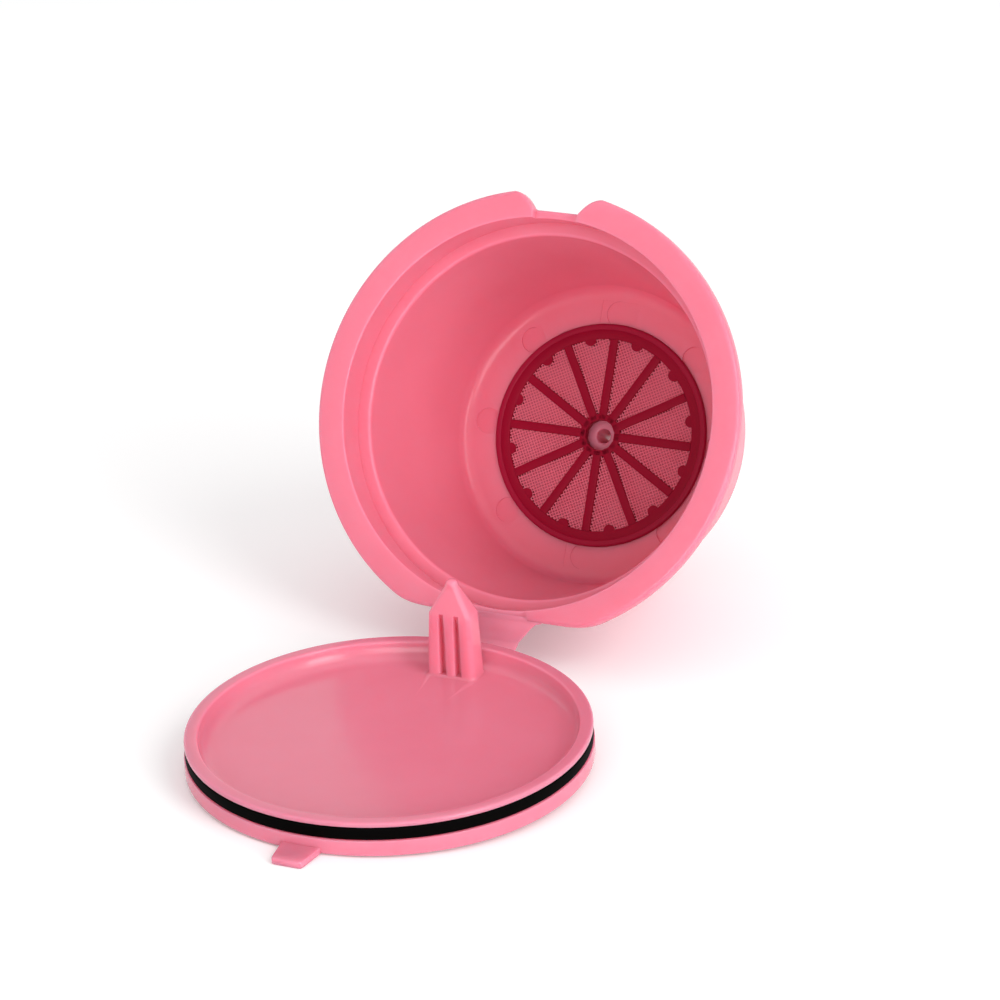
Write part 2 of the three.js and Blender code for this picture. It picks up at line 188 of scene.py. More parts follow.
# %% Node and colour helpers
def add(tree, kind, inputs=None, **settings):
    """Adds a node, sets its properties, and gives each named input a value or a link."""
    node = tree.nodes.new(kind)
    for name, value in settings.items():
        setattr(node, name, value)
    for name, value in (inputs or {}).items():
        sources = value if isinstance(value, list) else [value]
        for source in sources:
            if isinstance(source, bpy.types.NodeSocket):
                tree.links.new(source, node.inputs[name])
            else:
                node.inputs[name].default_value = source
    return node


def linear(hex_colour):
    """An sRGB hex colour as the linear values that a shader takes."""
    channels = [int(hex_colour[i:i + 2], 16) / 255 for i in (0, 2, 4)]
    return tuple(c / 12.92 if c <= 0.04045 else ((c + 0.055) / 1.055) ** 2.4 for c in channels) + (1,)


def per_mm(size_mm):
    """A texture scale in metre coordinates, for features of a size in millimetres."""
    return 1 / (size_mm * MM)


# %% [markdown]
# ## Light and ground
# The capsule stands on white in a plain, soft light that comes mostly from the right. A big lamp
# gives the soft shadow to its left, a second one lights the bowl's left wall, a low one in front
# reaches under the bowl's roof, and the world gives the rest. The ground is white because its own
# colour is, and a touch of glow that lights nothing takes it to pure white while the shadow stays.

# %% Ground, lamps and world
KEY_FROM = Vector((0.68, -0.28, 0.62))
KEY_SIZE = 0.5
KEY_WATTS = 2.5
SIDE_FROM = Vector((0.85, -0.45, 0.22))
SIDE_SIZE = 0.4
SIDE_WATTS = 3.3
LOW_FROM = Vector((0.28, -0.9, 0.12))
LOW_SIZE = 0.6
LOW_WATTS = 3.6
WORLD_LEVEL = 0.78
GROUND_HALF = 3
GROUND_GLOW = 0.12


def lamp(name, place, size, watts):
    data = bpy.data.lights.new(name, "AREA")
    data.shape = "DISK"
    data.size = size
    data.energy = watts
    light = bpy.data.objects.new(name, data)
    light.location = place
    light.rotation_euler = (-place).to_track_quat("-Z", "Y").to_euler()
    bpy.context.scene.collection.objects.link(light)


lamp("key_lamp", KEY_FROM, KEY_SIZE, KEY_WATTS)
lamp("side_lamp", SIDE_FROM, SIDE_SIZE, SIDE_WATTS)
lamp("low_lamp", LOW_FROM, LOW_SIZE, LOW_WATTS)


def seen_white(tree):
    """One for the rays that show the white background, and zero for those that only light."""
    path = add(tree, "ShaderNodeLightPath").outputs
    through = add(tree, "ShaderNodeMath", {0: path["Is Camera Ray"], 1: path["Is Transmission Ray"]},
                  operation="MAXIMUM")
    return add(tree, "ShaderNodeMath", {0: through.outputs[0], 1: path["Is Glossy Ray"]},
               operation="MAXIMUM").outputs[0]


world = bpy.data.worlds.new("white_room")
bpy.context.scene.world = world
world.use_nodes = True
world.node_tree.nodes.clear()
level_of = add(world.node_tree, "ShaderNodeMapRange",
               {"Value": seen_white(world.node_tree), "To Min": WORLD_LEVEL, "To Max": 1})
sky = add(world.node_tree, "ShaderNodeBackground",
          {"Color": (1, 1, 1, 1), "Strength": level_of.outputs[0]})
add(world.node_tree, "ShaderNodeOutputWorld", {"Surface": sky.outputs[0]})

ground_paint = bpy.data.materials.new("matt_white_card")
ground_paint.use_nodes = True
tree = ground_paint.node_tree
tree.nodes.clear()
card = add(tree, "ShaderNodeBsdfDiffuse", {"Color": linear("fafafa")})
glow = add(tree, "ShaderNodeMath", {0: seen_white(tree), 1: GROUND_GLOW}, operation="MULTIPLY")
white = add(tree, "ShaderNodeEmission", {"Color": (1, 1, 1, 1), "Strength": glow.outputs[0]})
both = add(tree, "ShaderNodeAddShader", {0: card.outputs[0], 1: white.outputs[0]})
add(tree, "ShaderNodeOutputMaterial", {"Surface": both.outputs[0]})

ground_mesh = bpy.data.meshes.new("ground")
corners = [(-GROUND_HALF, -GROUND_HALF, 0), (GROUND_HALF, -GROUND_HALF, 0),
           (GROUND_HALF, GROUND_HALF, 0), (-GROUND_HALF, GROUND_HALF, 0)]
ground_mesh.from_pydata(corners, [], [(0, 1, 2, 3)])
ground_mesh.materials.append(ground_paint)
ground = bpy.data.objects.new("ground", ground_mesh)
bpy.context.scene.collection.objects.link(ground)

# %% [markdown]
# ## Materials
# The pink moulding is polypropylene, a waxy plastic that light enters and leaves again a little
# further on. Subsurface scattering gives that look: thin edges glow and shadows inside the cup
# stay warm. A very fine ripple, like the skin of a moulding, keeps the highlights from being
# perfect mirrors, and a slow drift in the colour breaks up the large faces.

# %% Moulded polypropylene
# The places of the two colours among a colour mix's inputs
COLOUR_A = 6
COLOUR_B = 7


def object_noise(tree, size_mm, detail):
    place = add(tree, "ShaderNodeTexCoord")
    return add(tree, "ShaderNodeTexNoise", {"Vector": place.outputs["Object"],
                                            "Scale": per_mm(size_mm), "Detail": detail})


DRIFT_MM = 9
GLOSS_DRIFT = 0.02
PLASTIC_IOR = 1.49
SCATTER_SHARE = 0.8
# Red light travels about twice as far in the pink plastic as green and blue
SCATTER_COLOUR = (1, 0.45, 0.5)


def moulded(name, colours, roughness, specular, scatter_mm, ripple_mm, ripple_height_mm):
    """A moulded plastic: two close colours that drift, and a skin of fine ripples."""
    material = bpy.data.materials.new(name)
    material.use_nodes = True
    tree = material.node_tree
    tree.nodes.clear()
    drift = object_noise(tree, DRIFT_MM, 2)
    colour = add(tree, "ShaderNodeMix", {0: drift.outputs["Fac"], COLOUR_A: linear(colours[0]),
                                         COLOUR_B: linear(colours[1])}, data_type="RGBA")
    skin = object_noise(tree, ripple_mm, 3)
    bump = add(tree, "ShaderNodeBump", {"Height": skin.outputs["Fac"], "Strength": 1.0,
                                        "Distance": ripple_height_mm * MM})
    gloss = add(tree, "ShaderNodeMapRange", {
        "Value": drift.outputs["Fac"], "To Min": roughness - GLOSS_DRIFT, "To Max": roughness + GLOSS_DRIFT})
    shader = add(tree, "ShaderNodeBsdfPrincipled", {
        "Base Color": colour.outputs[2], "Roughness": gloss.outputs[0], "Normal": bump.outputs[0],
        "IOR": PLASTIC_IOR, "Specular IOR Level": specular})
    if scatter_mm:
        shader.inputs["Subsurface Weight"].default_value = SCATTER_SHARE
        shader.inputs["Subsurface Radius"].default_value = SCATTER_COLOUR
        shader.inputs["Subsurface Scale"].default_value = scatter_mm * MM
    add(tree, "ShaderNodeOutputMaterial", {"Surface": shader.outputs[0]})
    print("material:", name)
    return material


# Polypropylene from a polished mould: waxy depth with a soft shine
polypropylene = moulded("moulded_pink_polypropylene", ("dd7c91", "d97489"), roughness=0.2, specular=0.3,
                        scatter_mm=3, ripple_mm=1.2, ripple_height_mm=0.003)
# The lid's half of the mould is polished further, so its faces mirror the post
polished = moulded("polished_pink_polypropylene", ("e07e93", "dc768b"), roughness=0.16, specular=0.35,
                   scatter_mm=3, ripple_mm=2, ripple_height_mm=0.002)
# The strap is stretched thin, so light doesn't travel far in it
stretched = moulded("stretched_pink_polypropylene", ("e08a9e", "dc8298"), roughness=0.25, specular=0.3,
                    scatter_mm=0.4, ripple_mm=1.2, ripple_height_mm=0.003)
# Pigmented polypropylene, nearly opaque, with a satin shine: a crimson made deeper with painted shade, the
# shade that the grid lies in at the bottom of the cup
crimson_with_painted_shade = moulded("deep_red_polypropylene_with_painted_shade", ("920a2c", "860827"), roughness=0.42, specular=0.08,
                  scatter_mm=0, ripple_mm=0.5, ripple_height_mm=0.004)
# The weld melts a little pink into the crimson and leaves it slightly brighter; its deep red holds the same
# painted shade as the grid's crimson
welded = moulded("welded_polypropylene", ("9c1236", "920e30"), roughness=0.35, specular=0.12,
                 scatter_mm=0, ripple_mm=0.5, ripple_height_mm=0.006)
# Silicone rubber: black, smooth and dull, with a broad weak highlight
rubber = moulded("moulded_black_silicone", ("040303", "020202"), roughness=0.6, specular=0.02,
                 scatter_mm=0, ripple_mm=0.4, ripple_height_mm=0.004)
# Drawn polyamide thread: small round threads, each with its own thin highlight
thread = moulded("woven_pink_polyamide", ("f88a9e", "f27c94"), roughness=0.4, specular=0.15,
                 scatter_mm=0, ripple_mm=0.3, ripple_height_mm=0.001)

# %% [markdown]
# ## Helpers for meshes
# Round parts are swept from a section: a list of radius and height pairs for each angle. Where
# the section is the same at all angles this is a lathe, and where it changes, the same function
# cuts a notch or a flat without a boolean. Corners are rounded by short curves.

# %% Sections and sweeps
def corner(start, through, end, steps=5):
    """Points along a curve from start to end that bends towards a corner point."""
    t = np.linspace(0, 1, steps + 1)[:, None]
    start, through, end = (np.array(p, float) for p in (start, through, end))
    points = (1 - t) ** 2 * start + 2 * t * (1 - t) * through + t ** 2 * end
    return [tuple(p) for p in points]


def swept(name, sections, angles, closed):
    """A body from one section for each angle; a closed section has no ends on the axis."""
    rows = len(sections[0])
    points = []
    for section, angle in zip(sections, angles):
        for radius, height in section:
            points.append((radius * math.cos(angle), radius * math.sin(angle), height))
    faces = []
    count = len(angles)
    for i in range(count):
        a, b = i * rows, (i + 1) % count * rows
        for j in range(rows if closed else rows - 1):
            k = (j + 1) % rows
            faces.append((a + j, b + j, b + k, a + k))
    mesh = bpy.data.meshes.new(name)
    mesh.from_pydata(points, [], faces)
    return mesh


# In millimetres: points nearer than the first are one point, and edges under the second go
MERGE_MM = 1e-4
SMALLEST_EDGE_MM = 1e-5


def tidy(mesh):
    """Merges points that meet, drops faces without area and turns all faces outwards."""
    shape = bmesh.new()
    shape.from_mesh(mesh)
    bmesh.ops.remove_doubles(shape, verts=shape.verts, dist=MERGE_MM)
    bmesh.ops.dissolve_degenerate(shape, edges=shape.edges, dist=SMALLEST_EDGE_MM)
    bmesh.ops.recalc_face_normals(shape, faces=shape.faces)
    shape.to_mesh(mesh)
    shape.free()
    return mesh


def placed(mesh, name, matrix, material, sharp_deg=40):
    """An object at the origin whose mesh has been put in its place in the frame."""
    mesh.transform(matrix)
    mesh.materials.clear()
    mesh.materials.append(material)
    mesh.shade_smooth()
    mesh.set_sharp_from_angle(angle=math.radians(sharp_deg))
    piece = bpy.data.objects.new(name, mesh)
    bpy.context.scene.collection.objects.link(piece)
    return piece


def combine(base, tool, operation):
    """The boolean of two meshes, as a new mesh."""
    objects = []
    for mesh in (base, tool):
        objects.append(bpy.data.objects.new(mesh.name, mesh))
        bpy.context.scene.collection.objects.link(objects[-1])
    modifier = objects[0].modifiers.new("combine", "BOOLEAN")
    modifier.operation = operation
    modifier.object = objects[1]
    modifier.solver = "EXACT"
    depsgraph = bpy.context.evaluated_depsgraph_get()
    result = bpy.data.meshes.new_from_object(objects[0].evaluated_get(depsgraph))
    for item in objects:
        bpy.data.objects.remove(item)
    return result


# %% [markdown]
# ## Helpers for Geometry Nodes
# What repeats is made by a small node tree with named sizes. The tree is given to an empty
# object, its result is kept as a plain mesh, and the tree's object is thrown away.

# %% Trees of nodes
def new_tree(name, sizes):
    """An empty tree with named inputs, and the group input node that reads them."""
    tree = bpy.data.node_groups.new(name, "GeometryNodeTree")
    for title, value in sizes.items():
        kind = "NodeSocketInt" if isinstance(value, int) else "NodeSocketFloat"
        tree.interface.new_socket(title, in_out="INPUT", socket_type=kind)
    tree.interface.new_socket("Geometry", in_out="OUTPUT", socket_type="NodeSocketGeometry")
    return tree, add(tree, "NodeGroupInput").outputs


def grown(tree, sizes, geometry, material):
    """Ends a tree, runs it with its sizes and gives its result as a plain mesh."""
    real = add(tree, "GeometryNodeRealizeInstances", {"Geometry": geometry})
    painted = add(tree, "GeometryNodeSetMaterial", {"Geometry": real.outputs[0], "Material": material})
    add(tree, "NodeGroupOutput", {"Geometry": painted.outputs[0]})
    holder = bpy.data.objects.new(tree.name, bpy.data.meshes.new(tree.name))
    bpy.context.scene.collection.objects.link(holder)
    modifier = holder.modifiers.new(tree.name, "NODES")
    modifier.node_group = tree
    for socket in tree.interface.items_tree:
        if socket.in_out == "INPUT":
            modifier[socket.identifier] = sizes[socket.name]
    depsgraph = bpy.context.evaluated_depsgraph_get()
    result = bpy.data.meshes.new_from_object(holder.evaluated_get(depsgraph))
    bpy.data.objects.remove(holder)
    return result


def round_array(tree, item, count, radius):
    """Copies of an item round the axis, each with its X pointing outwards."""
    points = add(tree, "GeometryNodeMeshCircle", {"Vertices": count, "Radius": radius})
    place = add(tree, "GeometryNodeInputPosition")
    facing = add(tree, "FunctionNodeAlignRotationToVector", {"Vector": place.outputs[0]}, axis="X")
    copies = add(tree, "GeometryNodeInstanceOnPoints", {
        "Points": points.outputs[0], "Instance": item, "Rotation": facing.outputs[0]})
    return copies.outputs[0]


# %% [markdown]
# ## The cup
# The cup is moulded in one: a flange that hangs in the brewing holder, a seat for the lid, a
# bowl and a floor with a hole for the filter. Its section is nearly the same all round, so it is
# swept. Only the flange's edge changes: it is straight at the strap and has a notch for the
# lid's tab on the other side. The columns of the sweep stand closer where that happens.

# %% The flange's edge, as a function of the angle
HINGE_SIDE = math.pi / 2
NOTCH_SIDE = -math.pi / 2
NOTCH_HALF = 2.9
NOTCH_TOP_HALF = 5.6
NOTCH_DROP = TAB_T + GAP
CHANNEL_HALF = STRAP_HALF_AT_LID + GAP
CHANNEL_DROP = 0.34
CORNER_SOFTNESS = 1.1

rim_y = math.sqrt(FLANGE_R ** 2 - NOTCH_TOP_HALF ** 2)
shoulder = np.array(corner((NOTCH_HALF, OUTER_SEAT_R), (NOTCH_HALF + 1.2, OUTER_SEAT_R + 1.8),
                           (NOTCH_TOP_HALF, rim_y), 24))
shoulder_angles = np.arctan2(shoulder[:, 0], shoulder[:, 1])
shoulder_radii = np.hypot(shoulder[:, 0], shoulder[:, 1])


def turned_from(angle, side):
    return abs(math.remainder(angle - side, 2 * math.pi))


def flange_edge(angle):
    """The flange's radius: round, straight beside the strap, and in to the seat at the notch."""
    from_notch = turned_from(angle, NOTCH_SIDE)
    if from_notch < shoulder_angles[0]:
        return OUTER_SEAT_R / math.cos(from_notch)
    if from_notch < shoulder_angles[-1]:
        return float(np.interp(from_notch, shoulder_angles, shoulder_radii))
    straight = OUTER_SEAT_R / max(math.cos(turned_from(angle, HINGE_SIDE)), 0.5)
    mix = min(max(0.5 + 0.5 * (straight - FLANGE_R) / CORNER_SOFTNESS, 0), 1)
    return straight + (FLANGE_R - straight) * mix - CORNER_SOFTNESS * mix * (1 - mix)


def mouth_drop(angle):
    """How far the top is cut down, for the tab in its notch and for the strap in its channel."""
    for side, half, drop in ((NOTCH_SIDE, NOTCH_HALF, NOTCH_DROP), (HINGE_SIDE, CHANNEL_HALF, CHANNEL_DROP)):
        if turned_from(angle, side) < math.asin(half / OUTER_SEAT_R):
            return drop
    return 0


# %% The cup's section
def cup_section(edge, drop):
    """The section from the seat's foot over the flange, down the outside and up the inside."""
    nose = min(FLANGE_ROUND, 0.4 * (edge - SEAT_R))
    under = min(-FLANGE_T + 0.3, -drop - nose - 0.02)
    inner = max(edge - 0.3, OUTER_SEAT_R)
    fillet = min(0.4, edge - OUTER_SEAT_R + 0.01)
    return [
        (SEAT_R, -SEAT_DEPTH),
        *corner((SEAT_R, -drop - 0.2), (SEAT_R, -drop), (SEAT_R + 0.2, -drop), 3),
        *corner((edge - nose, -drop), (edge, -drop), (edge, -drop - nose), 6),
        *corner((edge, under), (edge, -FLANGE_T - 0.02), (inner, -FLANGE_T - 0.02), 3),
        *corner((OUTER_SEAT_R + fillet, -FLANGE_T - 0.02), (OUTER_SEAT_R, -FLANGE_T - 0.02),
                (OUTER_SEAT_R, -FLANGE_T - 0.42), 3),
        *corner((OUTER_SEAT_R, -SEAT_DEPTH + 0.3), (OUTER_SEAT_R, -SEAT_DEPTH),
                (OUTER_SEAT_R - 0.3, -SEAT_DEPTH - 0.35), 3),
        *corner((BOWL_TOP_R + WALL + 0.3, -BOWL_TOP_DEPTH - 0.8), (BOWL_TOP_R + WALL, -BOWL_TOP_DEPTH - WALL),
                (BOWL_TOP_R + WALL - 0.1, -BOWL_TOP_DEPTH - 1.8), 3),
        *corner((BOTTOM_R, -BOTTOM_DEPTH + BOTTOM_ROUND), (BOTTOM_R, -BOTTOM_DEPTH),
                (BOTTOM_R - BOTTOM_ROUND, -BOTTOM_DEPTH), 8),
        *corner((CHAMBER_OUTER_R + 0.4, -BOTTOM_DEPTH), (CHAMBER_OUTER_R, -BOTTOM_DEPTH),
                (CHAMBER_OUTER_R, -BOTTOM_DEPTH - 0.4), 3),
        *corner((CHAMBER_OUTER_R, -CHAMBER_BOTTOM_DEPTH + CHAMBER_ROUND),
                (CHAMBER_OUTER_R, -CHAMBER_BOTTOM_DEPTH),
                (CHAMBER_OUTER_R - CHAMBER_ROUND, -CHAMBER_BOTTOM_DEPTH), 6),
        *corner((NOZZLE_R + 0.4, -CHAMBER_BOTTOM_DEPTH), (NOZZLE_R, -CHAMBER_BOTTOM_DEPTH),
                (NOZZLE_R, -CHAMBER_BOTTOM_DEPTH - 0.4), 3),
        *corner((NOZZLE_R - 0.25, -NOZZLE_END_DEPTH + 0.3), (NOZZLE_R - 0.3, -NOZZLE_END_DEPTH),
                (NOZZLE_R - 0.6, -NOZZLE_END_DEPTH), 3),
        *corner((OUTLET_END_R + 0.2, -NOZZLE_END_DEPTH), (OUTLET_END_R, -NOZZLE_END_DEPTH),
                (OUTLET_END_R, -NOZZLE_END_DEPTH + 0.2), 2),
        *corner((OUTLET_R, -BOSS_DEPTH - 0.25), (OUTLET_R, -BOSS_DEPTH), (OUTLET_R + 0.25, -BOSS_DEPTH), 3),
        *corner((BOSS_R - 0.4, -BOSS_DEPTH), (BOSS_R, -BOSS_DEPTH), (BOSS_R, -BOSS_DEPTH - 0.4), 3),
        (BOSS_R + 0.1, -CHAMBER_FLOOR_DEPTH),
        *corner((CHAMBER_R - 0.5, -CHAMBER_FLOOR_DEPTH + 0.38), (CHAMBER_R, -CHAMBER_FLOOR_DEPTH + 0.4),
                (CHAMBER_R, -CHAMBER_FLOOR_DEPTH + 0.8), 3),
        (CHAMBER_R, -GRID_SEAT_DEPTH),
        (GRID_SEAT_R, -GRID_SEAT_DEPTH),
        *corner((GRID_SEAT_R, -FLOOR_DEPTH - 0.12), (GRID_SEAT_R, -FLOOR_DEPTH),
                (GRID_SEAT_R + 0.12, -FLOOR_DEPTH), 2),
        *corner((FLOOR_R - FLOOR_ROUND, -FLOOR_DEPTH), (FLOOR_R, -FLOOR_DEPTH),
                (FLOOR_R + 0.2, -FLOOR_DEPTH + FLOOR_ROUND), 9),
        *corner((BOWL_TOP_R, -BOWL_TOP_DEPTH), (BOWL_TOP_R, -SEAT_DEPTH), (LEDGE_R, -SEAT_DEPTH), 6),
    ]


# %% Ejector marks
# Eight ejector pins push the cup off its mould, and each leaves a shallow round print
MARK_RING_R = (GRID_SEAT_R + FLOOR_R - FLOOR_ROUND) / 2
mark_sizes = {"Count": 8, "Ring radius": MARK_RING_R, "Mark radius": 1.6, "Depth": 0.4}
tree, size = new_tree("ejector_marks", mark_sizes)
pin = add(tree, "GeometryNodeMeshCylinder", {"Vertices": 48, "Radius": size["Mark radius"],
                                             "Depth": size["Depth"]})
pins = round_array(tree, pin.outputs["Mesh"], size["Count"], size["Ring radius"])
marks_mesh = grown(tree, mark_sizes, pins, polypropylene)
marks_mesh.transform(Matrix.Translation((0, 0, -FLOOR_DEPTH)))
print("ejector marks:", mark_sizes["Count"])

# %% Sweep the cup
# At the strap and at the notch the mould has a block, which leaves a square print on the floor
PAD_SIZE = (4.7, 3.1, 0.12)
ROUND_STEPS = 200
EDGE_SPLIT = math.radians(0.05)
STRAIGHT_HALF = math.radians(25)
fine = math.radians(0.6)
angles = list(np.arange(ROUND_STEPS) * 2 * math.pi / ROUND_STEPS)
angles += list(np.arange(NOTCH_SIDE - 24 * fine, NOTCH_SIDE + 24.5 * fine, fine) + 2 * math.pi)
for centre in (HINGE_SIDE - STRAIGHT_HALF, HINGE_SIDE + STRAIGHT_HALF):
    angles += list(np.arange(centre - 8 * fine, centre + 8.5 * fine, fine))
for side, half in ((NOTCH_SIDE + 2 * math.pi, NOTCH_HALF), (HINGE_SIDE, CHANNEL_HALF)):
    for way in (-1, 1):
        edge_angle = side + way * math.asin(half / OUTER_SEAT_R)
        angles += [edge_angle - EDGE_SPLIT, edge_angle + EDGE_SPLIT]
angles = sorted(angles)
angles = [a for a, b in zip(angles, angles[1:] + [angles[0] + 2 * math.pi]) if b - a > EDGE_SPLIT / 2]
sections = [cup_section(flange_edge(a), mouth_drop(a)) for a in angles]
cup_mesh = tidy(swept("capsule_cup_fine", sections, angles, closed=True))
cup_mesh = combine(cup_mesh, marks_mesh, "DIFFERENCE")
for side in (-1, 1):
    pad = bpy.data.meshes.new("pad")
    block = bmesh.new()
    middle = Matrix.Translation((0, side * MARK_RING_R, -FLOOR_DEPTH))
    bmesh.ops.create_cube(block, size=1, matrix=middle @ Matrix.Diagonal((*PAD_SIZE, 1)))
    block.to_mesh(pad)
    block.free()
    cup_mesh = combine(cup_mesh, pad, "DIFFERENCE")
cup = placed(cup_mesh, "capsule_cup_fine", cup_frame, polypropylene)
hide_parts("capsule_cup")
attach(cup, "cup")
print("cup:", len(angles), "columns,", len(cup_mesh.polygons), "faces")

# %% [markdown]
# ## The filter's grid
# Twelve spokes run from a hub to a rim, and a small tooth stands in the middle of each window.
# A spoke and a tooth are each made once and copied round by nodes, so their number and sizes
# can be changed in one place. The woven filter is moulded into the spokes, whose faces stand a
# little over its threads.

# %% Filter grid
grid_sizes = {"Spokes": 12, "Rim radius": GRID_R, "Rim width": 1.3, "Spoke width": 1.1,
              "Hub radius": 2.7, "Hub hole": 1.9, "Thickness": 1.1, "Tooth radius": 0.75}
GRID_EDGE = 0.15
# The teeth are a little thinner than the spokes, and the grid stands up out of its seat
TOOTH_LESS = 0.12
GRID_RISE = 0.25
tree, size = new_tree("filter_grid_fine", grid_sizes)


def maths(operation, a, b):
    return add(tree, "ShaderNodeMath", {0: a, 1: b}, operation=operation).outputs[0]


def bar_section(width):
    """A rectangle as thick as the grid, with rounded corners."""
    face = add(tree, "GeometryNodeCurvePrimitiveQuadrilateral", {"Width": width, "Height": size["Thickness"]})
    eased = add(tree, "GeometryNodeFilletCurve", {"Curve": face.outputs[0], "Radius": GRID_EDGE, "Count": 2},
                mode="POLY")
    return eased.outputs[0]


def hoop(outer, inner):
    """A flat ring with rounded edges, centred on the grid's middle plane."""
    middle = maths("MULTIPLY", maths("ADD", outer, inner), 0.5)
    path = add(tree, "GeometryNodeCurvePrimitiveCircle", {"Resolution": 96, "Radius": middle})
    ring = add(tree, "GeometryNodeCurveToMesh", {
        "Curve": path.outputs[0], "Profile Curve": bar_section(maths("SUBTRACT", outer, inner))})
    return ring.outputs[0]


rim_inner = maths("SUBTRACT", size["Rim radius"], size["Rim width"])
rim = hoop(size["Rim radius"], rim_inner)
hub = hoop(size["Hub radius"], size["Hub hole"])
spoke_length = maths("SUBTRACT", rim_inner, size["Hub hole"])
spoke_middle = maths("MULTIPLY", maths("ADD", rim_inner, size["Hub hole"]), 0.5)
half_length = maths("MULTIPLY", spoke_length, 0.5)
spoke_start = add(tree, "ShaderNodeCombineXYZ", {"X": maths("MULTIPLY", half_length, -1.0)})
spoke_end = add(tree, "ShaderNodeCombineXYZ", {"X": half_length})
spoke_line = add(tree, "GeometryNodeCurvePrimitiveLine", {"Start": spoke_start.outputs[0],
                                                          "End": spoke_end.outputs[0]})
spoke = add(tree, "GeometryNodeCurveToMesh", {
    "Curve": spoke_line.outputs[0], "Profile Curve": bar_section(size["Spoke width"]), "Fill Caps": True})
spokes = round_array(tree, spoke.outputs[0], size["Spokes"], spoke_middle)
tooth_depth = maths("SUBTRACT", size["Thickness"], TOOTH_LESS)
tooth = add(tree, "GeometryNodeMeshCylinder", {"Vertices": 20, "Radius": size["Tooth radius"],
                                               "Depth": tooth_depth})
teeth = round_array(tree, tooth.outputs["Mesh"], size["Spokes"], rim_inner)
half_step = maths("DIVIDE", math.pi, size["Spokes"])
teeth_turn = add(tree, "ShaderNodeCombineXYZ", {"Z": half_step})
teeth_between = add(tree, "GeometryNodeTransform", {"Geometry": teeth, "Rotation": teeth_turn.outputs[0]})
whole = add(tree, "GeometryNodeJoinGeometry", {"Geometry": [rim, hub, spokes, teeth_between.outputs[0]]})
grid_mesh = grown(tree, grid_sizes, whole.outputs[0], crimson_with_painted_shade)
grid_middle = -GRID_TOP_DEPTH + GRID_RISE - grid_sizes["Thickness"] / 2
grid_place = cup_frame @ Matrix.Translation((0, 0, grid_middle))
grid = placed(tidy(grid_mesh), "filter_grid_fine", grid_place, crimson_with_painted_shade)
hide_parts("filter_grid")
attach(grid, "cup")
print("grid:", len(grid_mesh.polygons), "faces")

# %% Weld ring
# A thin bead of melted plastic runs over the grid's edge and holds the filter in its seat
WELD_R = GRID_SEAT_R + 0.35
WELD_INNER_R = GRID_R - 0.15
WELD_LOW = -FLOOR_DEPTH + 0.02
WELD_HIGH = -GRID_TOP_DEPTH + 0.33
weld_section = [
    (WELD_INNER_R, WELD_LOW),
    (WELD_R, WELD_LOW),
    *corner((WELD_R - 0.05, WELD_HIGH - 0.15), (WELD_R - 0.1, WELD_HIGH), (WELD_R - 0.3, WELD_HIGH), 3),
    *corner((WELD_INNER_R + 0.2, WELD_HIGH), (WELD_INNER_R, WELD_HIGH), (WELD_INNER_R, WELD_HIGH - 0.15), 3),
]
weld_angles = [i * 2 * math.pi / ROUND_STEPS for i in range(ROUND_STEPS)]
weld_mesh = tidy(swept("weld_ring", [weld_section] * ROUND_STEPS, weld_angles, closed=True))
weld = placed(weld_mesh, "weld_ring", cup_frame, welded)
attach(weld, "cup")
print("weld ring:", len(weld_mesh.polygons), "faces")

# %% [markdown]
# ## The woven filter
# The mesh that holds the coffee back is a plain weave, with nearly three threads to a millimetre.
# A flat grid of points is pushed up and down like a chessboard, and its lines in one direction
# become the warp. The same grid pushed the other way gives the weft, so the threads pass over
# and under each other as real ones do.

# %% Woven mesh
WEAVE_TURN = math.radians(27)
WEAVE_SINK = 0.02
PITCH = 0.36
FILTER_R = GRID_R - 0.3
threads = int(2 * FILTER_R / PITCH) + 1
weave_sizes = {"Threads": threads, "Width": (threads - 1) * PITCH, "Outer radius": FILTER_R,
               "Hole radius": 2.2, "Rise": 0.06, "Thread radius": 0.065}
tree, size = new_tree("filter_mesh_fine", weave_sizes)


